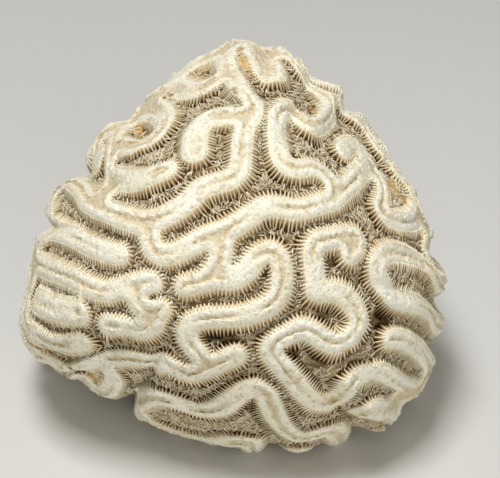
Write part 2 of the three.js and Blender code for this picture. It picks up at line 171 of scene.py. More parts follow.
def smoothStep(low, high, value):
    t = np.clip((value - low) / (high - low), 0.0, 1.0)
    return t * t * (3 - 2 * t)


def normalized(vectors):
    return vectors / np.linalg.norm(vectors, axis=-1, keepdims=True)


def pictureToMillimetres(points):
    points = np.asarray(points, float)
    middle = photoView["middlePoint"]
    right = (points[:, 0] - middle[0]) * photoView["millimetresPerPoint"]
    up = (middle[1] - points[:, 1]) * photoView["millimetresPerPoint"]
    return right, up


# The round form of the head, before its outline is fitted
def roundRadius(directions):
    half = np.where(directions[:, 2] > 0, head["rise"], head["drop"])
    power = head["squareness"]
    total = (np.abs(directions[:, 0] / head["halfWidth"]) ** power
             + np.abs(directions[:, 1] / head["halfDepth"]) ** power
             + np.abs(directions[:, 2] / half) ** power)
    return total ** (-1 / power)


# How far off the middle of the picture the outline is, this way around
def outlineRadius(around):
    right, up = pictureToMillimetres(outlinePoints)
    aheadX, aheadY = math.cos(around), math.sin(around)
    side = aheadX * up - aheadY * right
    for i in range(len(right)):
        j = (i + 1) % len(right)
        if side[i] >= 0 and side[j] < 0 and right[i] * aheadX + up[i] * aheadY > 0:
            t = side[i] / (side[i] - side[j])
            x = right[i] + (right[j] - right[i]) * t
            y = up[i] + (up[j] - up[i]) * t
            return x * aheadX + y * aheadY
    return head["halfWidth"]


# Pictured outline against round form, for every degree around the view. The rim of the round
# form is looked for from 60 to 110 degrees off the sight line.
def outlineFitTable():
    fits = []
    eye = photoView["eyeDistance"]
    away = np.radians(np.arange(60, 111))[:, None]
    for degree in range(360):
        around = math.radians(degree)
        sideways = math.cos(around) * viewRight + math.sin(around) * viewUp
        radius = roundRadius(np.cos(away) * viewBack + np.sin(away) * sideways)
        seen = radius * np.sin(away[:, 0]) * eye / (eye - radius * np.cos(away[:, 0]))
        fits.append(outlineRadius(around) / seen.max())
    return sum(np.roll(fits, step) for step in (-1, 0, 1)) / 3


outlineFit = outlineFitTable()


def headRadius(directions):
    right = directions @ viewRight
    up = directions @ viewUp
    degree = np.degrees(np.arctan2(up, right)) % 360
    low = np.floor(degree).astype(int) % 360
    part = degree - np.floor(degree)
    fit = outlineFit[low] * (1 - part) + outlineFit[(low + 1) % 360] * part
    strength = smoothStep(*outlineTells, np.hypot(right, up))
    return roundRadius(directions) * (1 + strength * (fit - 1))


def onHead(points):
    directions = normalized(points)
    return directions * headRadius(directions)[:, None]


# The way a valley sinks: toward the head's middle, and on the seen side turned toward the
# sight line and a little under the upper wall, as in the picture
def sinkWay(points):
    way = normalized(points)
    facing = way @ viewBack
    turn = head["sinkTurn"] * smoothStep(*facingShares["turn"], facing)
    lean = head["sinkUnder"] * smoothStep(*facingShares["under"], facing)
    under = lean * (1 - head["underFade"] * way @ viewUp)
    return normalized(way + turn[:, None] * (viewBack + under[:, None] * viewUp))


def treeOf(points):
    tree = kdtree.KDTree(len(points))
    for index, point in enumerate(points):
        tree.insert(point, index)
    tree.balance()
    return tree


def distanceTo(tree, points):
    return np.array([tree.find(point)[2] for point in points])


# Picture points carried onto the head along the lines of sight: one millimetre at a time until
# the head is met, then by halves
def pictureOntoHead(points):
    right, up = pictureToMillimetres(points)
    eye = viewBack * photoView["eyeDistance"]
    sight = normalized(right[:, None] * viewRight + up[:, None] * viewUp - eye)

    def outside(t):
        place = eye + sight * t[:, None]
        length = np.linalg.norm(place, axis=1)
        return length - headRadius(place / length[:, None]) > 0

    near = np.full(len(right), photoView["headDistance"])
    hit = np.zeros(len(right), bool)
    for _ in range(85):
        hit |= ~outside(near + 1)
        near = np.where(hit, near, near + 1)
    far = near + 1
    for _ in range(16):
        middle = (near + far) / 2
        beyond = outside(middle)
        near = np.where(beyond, middle, near)
        far = np.where(beyond, far, middle)
    return (eye + sight * far[:, None])[hit]


# A smooth line through given points
def curveThrough(points, spacing):
    points = np.array(points, float)
    points = np.vstack([2 * points[0] - points[1], points, 2 * points[-1] - points[-2]])
    places = [points[1]]
    for a, b, c, d in zip(points, points[1:], points[2:], points[3:]):
        before, along, after = (math.sqrt(np.linalg.norm(q - p)) for p, q in ((a, b), (b, c), (c, d)))
        leave = ((b - a) / before - (c - a) / (before + along) + (c - b) / along) * along
        arrive = ((c - b) / along - (d - b) / (along + after) + (d - c) / after) * along
        steps = max(1, math.ceil(np.linalg.norm(c - b) / spacing))
        t = (np.arange(1, steps + 1) / steps)[:, None]
        places.extend(b + leave * t + (3 * (c - b) - 2 * leave - arrive) * t ** 2
                      + (2 * (b - c) + leave + arrive) * t ** 3)
    return np.array(places)


# The way on from the edge of the view, straight away from the eye along the head
def roundTheEdge(place, length=14.0, step=0.4):
    places = []
    for _ in range(round(length / step)):
        up = place / np.linalg.norm(place)
        away = -viewBack + up * (viewBack @ up)
        place = onHead((place + away / np.linalg.norm(away) * step)[None])[0]
        places.append(place)
    return places


def followWalls():
    places, halfWidths = [], []
    for name, points in walls.items():
        line = list(pictureOntoHead(curveThrough(points, 1.2)))
        if name in overTheEdge:
            line += roundTheEdge(line[0] if overTheEdge[name] == "start" else line[-1])
        places += line
        halfWidths += [head["wallHalfWidth"] + broadWalls.get(name, 0)] * len(line)
    return np.array(places), np.array(halfWidths)


wallPlaces, wallHalfWidths = followWalls()
wallTree = treeOf(wallPlaces)
print("walls seen:", len(walls), "as", len(wallPlaces), "places on the head")


def seenSideAt(points):
    found = [wallTree.find(point) for point in points]
    return np.array([wallHalfWidths[index] - away for _, index, away in found])


def squaredDistances(points, others):
    points = points.astype(np.float32)
    others = others.astype(np.float32)
    squared = -2 * points @ others.T
    squared += (points ** 2).sum(axis=1)[:, None]
    squared += (others ** 2).sum(axis=1)[None, :]
    return squared


# Growth: evenly spread cells, each part wall or part valley. Near neighbours pull a cell their
# own way and further ones push it the other way, so the walls that were seen go on over the
# sides and the back as winding lines at the same pitch.
growth = {
    "cellCount": 6000,
    "seasons": 80,
    "pitchPerReach": 6.54,        # the pitch of the walls against the reach of the near pull
    "farPerNear": 2,              # the reach of the push against that of the pull
    "pull": 4,                    # the strength of the pull against that of the push
    "reaches": 3,                 # cells this many reaches away no longer tell
    "seenMargin": -1.0,           # a cell this near a followed wall keeps its value
    "seenSlope": 1.2,             # how sharply cells turn from wall to valley beside it
    "gain": 0.9,
    "blurReach": 1.25,            # between cells their values are blurred this far
    "blurPeak": 0.9,              # the blurred value at the top of a wall
}


def growCells():
    count = growth["cellCount"]
    index = np.arange(count)
    height = 1 - (2 * index + 1) / count
    ring = np.sqrt(1 - height ** 2)
    turn = index * math.pi * (3 - math.sqrt(5))
    directions = np.column_stack([ring * np.cos(turn), ring * np.sin(turn), height])
    places = directions * headRadius(directions)[:, None]
    facing = directions @ viewBack
    inside = seenSideAt(places)
    fixed = (facing > facingShares["traced"]) | (inside > growth["seenMargin"])
    scattered = (index * index * 31 + index * 7919) % 1013 / 1013 - 0.5
    values = np.where(fixed, np.tanh(inside * growth["seenSlope"]), scattered)
    near = head["meanderPitch"] / growth["pitchPerReach"]
    far = near * growth["farPerNear"]
    squared = squaredDistances(places, places)
    linked = squared < (far * growth["reaches"]) ** 2
    links = growth["pull"] * np.exp(squared / (-2 * near ** 2)) - np.exp(squared / (-2 * far ** 2))
    links *= linked
    links -= linked * (links.sum(axis=1) / linked.sum(axis=1))[:, None]
    for _ in range(growth["seasons"]):
        values = np.where(fixed, values, np.tanh(growth["gain"] * (links @ values)))
    return places, values


cellPlaces, cellValues = growCells()
print("walls grown over", len(cellPlaces), "cells")


# How far each point is inside a wall (above zero) or out in a valley (below zero)
def wallSideAt(points):
    reach = growth["blurReach"]
    waves = []
    for part in np.array_split(points, max(1, len(points) // 2000)):
        squared = squaredDistances(part, cellPlaces)
        weights = np.exp(squared / (-2 * reach ** 2)) * (squared < (reach * growth["reaches"]) ** 2)
        waves.append(weights @ cellValues / weights.sum(axis=1))
    wave = np.clip(np.concatenate(waves) / growth["blurPeak"], -1, 1)
    grown = np.arcsin(wave) * head["meanderPitch"] / (2 * math.pi)
    seen = smoothStep(*facingShares["blend"], normalized(points) @ viewBack)
    return grown + (seenSideAt(points) - grown) * seen


def deselectAll():
    if bpy.context.mode != "OBJECT":
        bpy.ops.object.mode_set(mode="OBJECT")
    bpy.ops.object.select_all(action="DESELECT")


def cornersOf(piece):
    corners = np.empty(len(piece.data.vertices) * 3)
    piece.data.vertices.foreach_get("co", corners)
    return corners.reshape(-1, 3)


def moveCorners(piece, corners):
    piece.data.vertices.foreach_set("co", np.asarray(corners, np.float32).ravel())
    piece.data.update()


def facesOf(piece):
    faces = np.empty(len(piece.data.loops), np.int64)
    piece.data.loops.foreach_get("vertex_index", faces)
    return faces.reshape(-1, 3)


def keepValue(piece, name, values):
    layer = piece.data.attributes.new(name, "FLOAT", "POINT")
    layer.data.foreach_set("value", np.asarray(values, np.float32))


# Millimetres about the middle of the head, to metres in the frame
def toFrame(points):
    middle = np.array([*head["middleOffset"], head["cutDepth"]])
    return (points + middle) / 1000


# The lines where walls meet valleys, as closed loops with the wall on the left
def wallEdges(points, faces, side):
    positive = side[faces] > 0
    mixed = (positive.sum(axis=1) == 1) | (positive.sum(axis=1) == 2)
    faces, positive = faces[mixed], positive[mixed]
    loneIsWall = positive.sum(axis=1) == 1
    lone = np.where(loneIsWall, positive.argmax(axis=1), (~positive).argmax(axis=1))
    row = np.arange(len(faces))
    a, b, c = (faces[row, (lone + turn) % 3] for turn in (0, 1, 2))
    count = len(points)
    keyAB = np.minimum(a, b) * count + np.maximum(a, b)
    keyCA = np.minimum(a, c) * count + np.maximum(a, c)
    starts = np.where(loneIsWall, keyAB, keyCA)
    ends = np.where(loneIsWall, keyCA, keyAB)
    following = dict(zip(starts.tolist(), ends.tolist()))
    loops = []
    while following:
        first = next(iter(following))
        keys = []
        key = first
        while key in following:
            keys.append(key)
            key = following.pop(key)
        low, high = np.array(keys) // count, np.array(keys) % count
        part = (side[low] / (side[low] - side[high]))[:, None]
        loops.append(points[low] + (points[high] - points[low]) * part)
    return loops


# A closed loop evened out and given new points at equal steps, each with its heading
def evenSteps(loop, spacing, smoothing=4):
    for _ in range(smoothing):
        loop = (np.roll(loop, 1, axis=0) + 2 * loop + np.roll(loop, -1, axis=0)) / 4
    closed = np.vstack([loop, loop[:1]])
    walked = np.concatenate([[0], np.cumsum(np.linalg.norm(np.diff(closed, axis=0), axis=1))])
    count = max(6, round(walked[-1] / spacing))
    at = np.arange(count) * walked[-1] / count
    places = np.column_stack([np.interp(at, walked, closed[:, axis]) for axis in range(3)])
    heading = normalized(np.roll(places, -1, axis=0) - np.roll(places, 1, axis=0))
    return places, heading


# The skeleton: a finely faceted ball pushed out to the head and sunk between the walls
skeleton = {
    "ballDetail": 6,              # times the ball is faceted more finely
    "ballCuts": 2,                # and cuts of every edge after that
    # inside the wall (above 0) or out in the valley (below 0), and how far down the surface is
    "side": (-1.5, -1.0, -0.7, -0.35, 0.0, 0.3, 0.6, 0.95, 1.5),
    "sink": (3.80, 3.50, 3.00, 2.10, 1.30, 0.80, 0.43, 0.18, 0.0),
    "hollowDepth": 6.0,           # the depth whose colour, the darkest painted shade, is that of the deepest holes
    "edgeStep": 0.2,              # between the points along a wall's side
    "fewestEdgePoints": 10,       # a wall with fewer points around it is left out
    "grooveSide": (1.75, 2.2),    # the groove between the crests: it begins and is whole this far in
    "groovePatches": (-0.7, 0.1),  # it comes and goes along the wall
    "grooveSink": 0.7,
    "spongeSink": 3.0,            # how far down the floor is along the middle of a valley
    "spongeEdge": (-0.15, 0.3),   # past the tips of the septa, where the floor turns spongy
    "unevenness": 0.3,
    "unevenLength": 11,           # from one slow rise of the surface to the next
    "crumbs": 0.10,               # how far the rough surface stands up and down
    "poreShare": 0.10,            # this share of the wall tops is pitted
    "poreSide": (0.5, 1.1),       # the pores begin and are all there this far inside the wall
    "poreDepth": 0.28,
    "deepSide": (0.4, -0.5),      # a deep hole begins and is whole this far into the valley
    "wornKeeps": 0.42,            # how much of a valley's depth is left where the head is worn
}
# how soft the edge of a spot is, as a share of its radius
softness = {"worn": 0.6, "deep": 0.45, "pits": 0.5}
# worn smooth: picture point, and radius in millimetres
wornSpots = [
    ((258, 62), 5.5), ((24, 305), 5.0), ((30, 340), 5.0), ((142, 124), 4.5), ((104, 145), 3.5),
    ((404, 192), 4.0), ((428, 240), 3.5), ((98, 380), 4.0), ((205, 68), 3.5), ((330, 110), 3.0),
]
# deep holes between the walls, dark with painted shade from the depth colours: picture point, radius and
# extra depth in millimetres
deepSpots = [
    ((297, 156), 1.1, 2.6), ((385, 319), 2.3, 2.8), ((366, 331), 1.3, 1.6), ((267, 268), 1.3, 1.4),
    ((210, 330), 2.0, 1.6), ((226, 334), 1.8, 1.6), ((250, 402), 2.4, 1.6), ((290, 352), 1.9, 1.6),
    ((318, 360), 1.9, 1.6), ((330, 256), 1.7, 1.3), ((266, 91), 0.8, 1.2), ((278, 91), 0.7, 1.0),
    ((130, 131), 0.7, 1.2), ((144, 125), 1.3, 0.8), ((388, 154), 1.0, 1.0), ((314, 111), 0.7, 1.0),
    ((118, 296), 1.5, 1.5), ((148, 297), 1.2, 1.3), ((152, 364), 1.5, 0.7), ((267, 217), 1.1, 1.6),
    ((326, 312), 1.6, 0.8), ((60, 240), 1.3, 0.8),
]
# small pits in the worn tops of walls: picture point, radius and depth in millimetres
pits = [
    ((242, 48), 1.0, 1.6), ((210, 69), 0.9, 1.7), ((202, 71), 0.8, 1.5), ((170, 93), 1.0, 1.5),
    ((130, 132), 0.8, 1.8), ((146, 123), 1.2, 1.2), ((266, 89), 0.9, 1.8), ((276, 88), 0.7, 1.5),
    ((297, 84), 0.8, 1.4), ((313, 109), 0.9, 1.5), ((388, 166), 0.9, 1.3), ((401, 207), 0.8, 1.2),
    ((42, 346), 0.9, 1.3), ((90, 173), 0.9, 1.2), ((232, 92), 1.2, 1.2),
]
dice = np.random.default_rng(11)


# Slow ups and downs over the head, about -1 to 1, from a few waves in mixed directions
def unevenAt(points, wavelength, seed, waves=7):
    own = np.random.default_rng(seed)
    aims = normalized(own.normal(size=(waves, 3))) * 2 * math.pi / wavelength
    phases = own.uniform(0, 2 * math.pi, waves)
    return np.sin(points @ aims.T + phases).sum(axis=1) / math.sqrt(waves * 2)


def unevenSink(points):
    return skeleton["unevenness"] * unevenAt(points, skeleton["unevenLength"], 5)


# How strongly the nearest spot tells at each point, or how deep it is there
def spotsAt(points, spots, soft):
    strongest = np.zeros(len(points))
    for place, radius, *depth in spots:
        centre = pictureOntoHead([place])[0]
        away = np.linalg.norm(points - centre, axis=1)
        amount = smoothStep(radius * (1 + soft), radius * (1 - soft), away)
        strongest = np.maximum(strongest, amount * depth[0] if depth else amount)
    return strongest


def wornAt(points):
    return spotsAt(points, wornSpots, softness["worn"])


def deepAt(points):
    return spotsAt(points, deepSpots, softness["deep"])


# 0 at the top of a wall, 1 at the bottom of the deepest holes. The colours darken with it, partly as dirt
# and partly as painted shade.
def hollowFor(sink):
    return np.clip(sink / skeleton["hollowDepth"], 0, 1)


def sinkFor(side, worn):
    keep = 1 - worn * (1 - skeleton["wornKeeps"])
    return np.interp(side, skeleton["side"], skeleton["sink"]) * keep


# How far each point lies beyond the tips of the nearest septa
def beyondSepta(points, side, places, middle):
    valley = np.flatnonzero(side < -0.2)
    tree = treeOf(places)
    nearest = [tree.find(point)[1] for point in points[valley]]
    beyond = np.full(len(points), -9.0)
    beyond[valley] = -side[valley] - septaReach(middle[nearest])
    return beyond


def makeSkeleton():
    deselectAll()
    bpy.ops.mesh.primitive_ico_sphere_add(subdivisions=skeleton["ballDetail"], radius=1)
    piece = bpy.context.object
    piece.name = "skeleton"
    bpy.ops.object.mode_set(mode="EDIT")
    bpy.ops.mesh.select_all(action="SELECT")
    bpy.ops.mesh.subdivide(number_cuts=skeleton["ballCuts"])
    bpy.ops.object.mode_set(mode="OBJECT")
    points = onHead(cornersOf(piece))
    roughSide = wallSideAt(points)
    loops = wallEdges(points, facesOf(piece), roughSide)
    loops = [loop for loop in loops if len(loop) >= skeleton["fewestEdgePoints"]]
    edgeTree = treeOf(np.vstack([evenSteps(loop, skeleton["edgeStep"])[0] for loop in loops]))
    side = np.sign(roughSide) * distanceTo(edgeTree, points)
    septaPlaces = placeSepta(loops, edgeTree)
    beyond = beyondSepta(points, side, septaPlaces[0], septaPlaces[3])
    worn = wornAt(points)
    sink = sinkFor(side, worn)
    spongy = smoothStep(*skeleton["spongeEdge"], beyond)
    sink += np.minimum(0, skeleton["spongeSink"] - sink) * spongy
    groove = smoothStep(*skeleton["grooveSide"], side)
    groove *= smoothStep(*skeleton["groovePatches"], unevenAt(points, 12, 3))
    sink += skeleton["grooveSink"] * groove * (1 - 0.6 * worn)
    # more pores in the grooves and where the head is worn
    poreShare = skeleton["poreShare"] * (1 + 2 * groove + worn)
    pores = (dice.random(len(points)) < poreShare) * smoothStep(*skeleton["poreSide"], side)
    sink += pores * skeleton["poreDepth"] * dice.uniform(0.4, 1.0, len(points))
    sink += deepAt(points) * smoothStep(*skeleton["deepSide"], side)
    sink += spotsAt(points, pits, softness["pits"])
    # a groove counts shallower than it is for the depth colours, as it gets its own tan, partly painted
    # shade, from the pit colour
    relief = sink - skeleton["grooveSink"] * groove * 0.6
    sink += unevenSink(points) + dice.normal(size=len(points)) * skeleton["crumbs"]
    moveCorners(piece, toFrame(points - sinkWay(points) * sink[:, None]))
    # hollow sets how far the colours darken: partly dirt, partly painted shade in the valleys and holes
    keepValue(piece, "hollow", hollowFor(relief))
    keepValue(piece, "spongy", spongy * (1 - 0.8 * worn))
    keepValue(piece, "worn", worn)
    keepValue(piece, "pitted", np.clip(groove * 0.7 + pores * 0.7, 0, 1))
    deselectAll()
    piece.select_set(True)
    bpy.context.view_layer.objects.active = piece
    bpy.ops.object.mode_set(mode="EDIT")
    bpy.ops.mesh.select_all(action="SELECT")
    bpy.ops.mesh.bisect(plane_co=(0, 0, 0), plane_no=(0, 0, 1), use_fill=True, clear_inner=True,
                        threshold=1e-7)
    bpy.ops.mesh.select_all(action="SELECT")
    bpy.ops.mesh.quads_convert_to_tris()
    bpy.ops.object.mode_set(mode="OBJECT")
    bpy.ops.object.shade_smooth_by_angle(angle=math.radians(50))
    print("skeleton:", len(piece.data.polygons), "faces,", len(loops), "wall edges")
    return piece, septaPlaces


# The septa: thin upright blades set across every wall side, from the top of the wall down
# into the valley. One blade is modelled, and each place gets its own bent copy.
septa = {
    "spacing": 0.72,              # from blade to blade along the wall
    "thickness": 0.34,
    "startInside": 0.4,           # how far inside the wall's side a blade starts
    "shortOfMiddle": 0.5,         # the gap from a blade's tip to the middle of the valley
    "shortestReach": 0.35,        # how far out it goes at least
    "longestReach": 1.45,         # and at most, into a wide valley
    "cuts": 6,                    # along the blade, between its two end stations
    "heights": (0.15, 0.22, 0.36, 0.50, 0.63, 0.76, 0.89, 1.0),  # share of the tip's depth, by station
    "widths": (0.75, 1.0, 1.0, 1.0, 0.95, 0.95, 1.0, 0.9),  # share of the thickness, by station
    "topShare": 0.75,             # a blade's top edge against its foot
    "tipStandsUp": 1.15,          # how far its tip is above the valley floor
    "leastTipSink": 0.25,         # and below the top of the wall at least
    "tipInHole": 0.8,             # over a deep hole the tip goes down by this share of its depth
    "buried": 0.3,                # how far its foot goes on under the surface
    "jitter": 0.12,               # how uneven reaches, tips and thicknesses are
    "lean": 0.06,                 # and how uneven the headings are
    "lookOut": (0.4, 3.5, 0.2),   # from, to and by: places tried on the way to the middle of the valley
    "middleRange": (0.5, 3.3),    # how far off the middle of a valley can be
}
# every second blade is a little shorter and thinner
septaRanks = {
    "septaMajor": {"first": 0, "reach": 1.0, "thickness": 1.0},
    "septaMinor": {"first": 1, "reach": 0.9, "thickness": 0.85},
}


def septaReach(middle):
    return np.clip(middle - septa["shortOfMiddle"], septa["shortestReach"], septa["longestReach"])


# A cube cut along its length only, so that each cut can be moved by itself
def makeBlade():
    deselectAll()
    bpy.ops.mesh.primitive_cube_add(size=1)
    blade = bpy.context.object
    bpy.ops.object.mode_set(mode="EDIT")
    bpy.ops.mesh.select_mode(type="EDGE")
    bpy.ops.mesh.select_all(action="DESELECT")
    bpy.ops.object.mode_set(mode="OBJECT")
    corners = cornersOf(blade)
    for edge in blade.data.edges:
        edge.select = corners[edge.vertices[0]][0] * corners[edge.vertices[1]][0] < 0
    bpy.ops.object.mode_set(mode="EDIT")
    bpy.ops.mesh.subdivide(number_cuts=septa["cuts"])
    bpy.ops.mesh.select_mode(type="VERT")
    bpy.ops.mesh.select_all(action="SELECT")
    bpy.ops.mesh.quads_convert_to_tris()
    bpy.ops.object.mode_set(mode="OBJECT")
    return blade


# copies that would come lower than this over the flat cut, in metres, are left out
lowestCopy = 0.0001


# Copies of a small mesh joined in one piece: places is (copies, corners, 3), and values are kept
# for each corner or each copy
def joinCopies(name, pattern, places, values):
    faces = facesOf(pattern)
    clear = places[..., 2].min(axis=1) > lowestCopy
    places = places[clear]
    copies, corners = places.shape[:2]
    everyFace = (faces[None] + np.arange(copies)[:, None, None] * corners).reshape(-1, 3)
    mesh = bpy.data.meshes.new(name)
    mesh.vertices.add(copies * corners)
    mesh.vertices.foreach_set("co", places.astype(np.float32).ravel())
    mesh.loops.add(len(everyFace) * 3)
    mesh.loops.foreach_set("vertex_index", everyFace.astype(np.int32).ravel())
    mesh.polygons.add(len(everyFace))
    mesh.polygons.foreach_set("loop_start", np.arange(0, len(everyFace) * 3, 3, dtype=np.int32))
    mesh.update(calc_edges=True)
    mesh.validate()
    piece = bpy.data.objects.new(name, mesh)
    bpy.context.collection.objects.link(piece)
    for valueName, value in values.items():
        keepValue(piece, valueName, np.broadcast_to(value[clear], (copies, corners)).ravel())
    return piece


# Where every blade stands: its foot on the wall's side, the way out into the valley, the
# heading along the wall, and how far off the middle of that valley is. The middle is where a
# step out no longer leads away from the walls.
def placeSepta(loops, edgeTree):
    places, headings = zip(*(evenSteps(loop, septa["spacing"]) for loop in loops))
    places, headings = onHead(np.vstack(places)), np.vstack(headings)
    up = normalized(places)
    outward = normalized(np.cross(headings, up))
    steps = np.arange(*septa["lookOut"])
    ahead = onHead((places[:, None] + outward[:, None] * steps[None, :, None]).reshape(-1, 3))
    clear = distanceTo(edgeTree, ahead).reshape(len(places), len(steps))
    leastGain = 0.08
    stopped = np.diff(clear, axis=1) < leastGain
    stopped[:, -1] = True
    middle = np.clip(steps[stopped.argmax(axis=1)] + leastGain, *septa["middleRange"])
    return places, outward, headings, middle


def makeSepta(name, blade, places, outward, headings, reach, worn, thickness):
    count = len(places)
    unit = cornersOf(blade)
    station = np.rint((unit[:, 0] + 0.5) * (septa["cuts"] + 1)).astype(int)
    share = station / (septa["cuts"] + 1)
    top = unit[:, 2] > 0
    reach = reach * (1 + dice.normal(size=count) * septa["jitter"])
    start = -septa["startInside"]
    along = start + share[None] * (reach - start)[:, None]
    surface = sinkFor(-along, worn[:, None])
    tip = sinkFor(-reach, worn) - septa["tipStandsUp"] * (1 - 0.6 * worn)
    deep = deepAt(places + outward * reach[:, None])
    tip = np.maximum(tip, septa["leastTipSink"]) + septa["tipInHole"] * deep
    tip += dice.normal(size=count) * septa["jitter"]
    uneven = unevenSink(places)
    crown = np.array(septa["heights"])[station][None] * tip[:, None] + uneven[:, None]
    foot = np.maximum(surface, crown) + septa["buried"] + (uneven + deep)[:, None]
    sink = np.where(top[None], crown, foot)
    width = thickness * np.array(septa["widths"])[station] * np.where(top, septa["topShare"], 1.0)
    width = width[None] * (1 + dice.normal(size=count) * septa["jitter"])[:, None]
    lean = dice.normal(size=count) * septa["lean"]
    sideways = unit[None, :, 1] * width + lean[:, None] * (along - start)
    corners = places[:, None] + outward[:, None] * along[..., None] + headings[:, None] * sideways[..., None]
    onTop = onHead(corners.reshape(-1, 3))
    corners = onTop - sinkWay(onTop) * sink.reshape(-1, 1)
    values = {"hollow": hollowFor(sink), "shade": dice.uniform(0, 1, (count, 1))}
    return joinCopies(name, blade, toFrame(corners).reshape(count, -1, 3), values)


# The spongy line (columella) along the middle of each valley: a tangle of short rods, some of
# them going on from the tips of the blades
columella = {
    "rodsPerSeptum": 2.85,
    "rodLength": (0.7, 1.7),
    "rodThickness": (0.12, 0.22),
    "spread": 0.6,                # how far to either side of the middle of the valley rods lie
    "wideValley": 2.05,           # where the middle is further off than this, they spread further
    "standsUp": (0.5, 1.5),       # how far above the valley floor
    "fromTips": 0.4,              # the share of rods that point across the valley
    "flatness": 0.75,             # how much of their rise is taken away
    "wornThins": 0.95,            # the share of rods that is gone where the head is worn
    "holeDepth": (0.3, 1.2),      # over a hole this deep the rods begin to lie low, and all do
}


def makeColumella(places, outward, headings, middle, worn):
    deselectAll()
    bpy.ops.mesh.primitive_cube_add(size=1)
    bar = bpy.context.object
    bpy.ops.object.mode_set(mode="EDIT")
    bpy.ops.mesh.select_all(action="SELECT")
    bpy.ops.mesh.quads_convert_to_tris()
    bpy.ops.object.mode_set(mode="OBJECT")
    unit = cornersOf(bar)
    count = int(len(places) * columella["rodsPerSeptum"])
    spreads = columella["spread"] + np.maximum(0, middle - columella["wideValley"])
    chances = spreads * (1 - columella["wornThins"] * worn)
    pick = dice.choice(len(places), count, p=chances / chances.sum())
    spread = spreads[pick]
    away = middle[pick] + dice.uniform(-1, 1, count) * spread
    along = dice.uniform(-0.5, 0.5, count) * septa["spacing"]
    centres = onHead(places[pick] + outward[pick] * away[:, None] + headings[pick] * along[:, None])
    up = normalized(centres)
    floor = sinkFor(-middle[pick], worn[pick]) + unevenSink(places[pick])
    deep = deepAt(centres)
    rise = dice.uniform(*columella["standsUp"], count) * (1 - 0.5 * worn[pick])
    rise *= 1 - smoothStep(*columella["holeDepth"], deep)
    sink = floor - rise + deep
    across = dice.random(count)[:, None] < columella["fromTips"]
    aim = dice.normal(size=(count, 3)) * np.where(across, 0.3, 1.0) + outward[pick] * across
    aim = normalized(aim - up * (aim * up).sum(axis=1)[:, None] * columella["flatness"])
    length = dice.uniform(*columella["rodLength"], count)
    thick = dice.uniform(*columella["rodThickness"], count)
    sideways = normalized(np.cross(aim, up + 0.01))
    third = np.cross(aim, sideways)
    corners = (unit[None, :, 0, None] * aim[:, None] * length[:, None, None]
               + unit[None, :, 1, None] * sideways[:, None] * thick[:, None, None]
               + unit[None, :, 2, None] * third[:, None] * thick[:, None, None])
    corners = corners + (centres - sinkWay(centres) * sink[:, None])[:, None]
    values = {"hollow": hollowFor(sink)[:, None], "shade": dice.uniform(0, 1, (count, 1))}
    piece = joinCopies("columella", bar, toFrame(corners.reshape(-1, 3)).reshape(corners.shape), values)
    bpy.data.objects.remove(bar)
    return piece


def linear(hexColour):
    channels = [int(hexColour[i:i + 2], 16) / 255 for i in (1, 3, 5)]
    return [c / 12.92 if c <= 0.04045 else ((c + 0.055) / 1.055) ** 2.4 for c in channels] + [1.0]


def newMaterial(name):
    material = bpy.data.materials.new(name)
    material.use_nodes = True
    tree = material.node_tree
    return material, tree, tree.nodes["Principled BSDF"]


# Adds a node, sets what is given by name, and links inputs to other nodes' outputs
def addNode(tree, kind, settings=None, inputs=None):
    node = tree.nodes.new(kind)
    for name, value in (settings or {}).items():
        setattr(node, name, value)
    for name, value in (inputs or {}).items():
        if isinstance(value, bpy.types.NodeSocket):
            tree.links.new(value, node.inputs[name])
        else:
            node.inputs[name].default_value = value
    return node


def attributeOf(tree, name):
    return addNode(tree, "ShaderNodeAttribute", {"attribute_name": name}).outputs["Fac"]


def noiseOf(tree, millimetres, detail):
    place = addNode(tree, "ShaderNodeTexCoord").outputs["Object"]
    return addNode(tree, "ShaderNodeTexNoise", inputs={
        "Vector": place, "Scale": 1000 / millimetres, "Detail": detail}).outputs["Fac"]


def rampOf(tree, share, stops):
    node = addNode(tree, "ShaderNodeValToRGB", inputs={"Fac": share})
    ramp = node.color_ramp
    while len(ramp.elements) < len(stops):
        ramp.elements.new(0.5)
    for element, (place, colour) in zip(ramp.elements, stops):
        element.position = place
        element.color = linear(colour)
    return node.outputs["Color"]


def mixOf(tree, share, first, second, blend="MIX"):
    return addNode(tree, "ShaderNodeMix", {"data_type": "RGBA", "blend_type": blend}, {
        0: share, 6: first, 7: second}).outputs[2]


def setSurface(tree, shader, colour, height, finish):
    bump = addNode(tree, "ShaderNodeBump", inputs={
        "Strength": finish["bumpStrength"], "Distance": finish["bumpHeight"], "Height": height})
    tree.links.new(colour, shader.inputs["Base Color"])
    tree.links.new(bump.outputs["Normal"], shader.inputs["Normal"])
    shader.inputs["Roughness"].default_value = finish["roughness"]
    shader.inputs["Specular IOR Level"].default_value = 0.35


# Dry aragonite: chalky, matt and faintly yellow. Wall tops are bleached nearly white, and the valleys
# turn brown with depth, partly dirt and partly painted shade, dark in the deepest holes; this gives the
# combed pattern its contrast.
skeletonFinish = {
    "stops": ((0.0, "#FAF7E6"), (0.12, "#F6F0D9"), (0.24, "#CFB588"), (0.46, "#926B41"),
              (0.64, "#6B4F32"), (1.0, "#30271F")),
    "wornStops": ((0.0, "#FBF8E8"), (0.1, "#F8F0D6"), (0.22, "#E6C588"), (0.42, "#C48C46"),
                  (1.0, "#5E452A")),
    # tan in the grooves and pores: partly their own colour, partly painted shade in these recesses
    "pitColourAndShade": "#C9B284", "pitShare": 0.7,
    # the spongy valley floor is painted darker: partly its own colour, partly painted shade under the walls
    "spongeColourAndShade": "#B9A680",
    "grainMillimetres": 0.5,
    # dark tan dots from the grain: painted shade of pinholes that are not modelled
    "pinholeShade": ((0.34, "#C2AF88"), (0.44, "#FFFFFF")), "pinholeShadeShare": 0.4,
    "patchMillimetres": 9.09,
    "patches": ((0.35, "#EEE4CC"), (0.6, "#FFFFFF")), "patchShare": 0.45,
    "bumpStrength": 0.8, "bumpHeight": 0.0004,
    "roughness": 0.8,
}


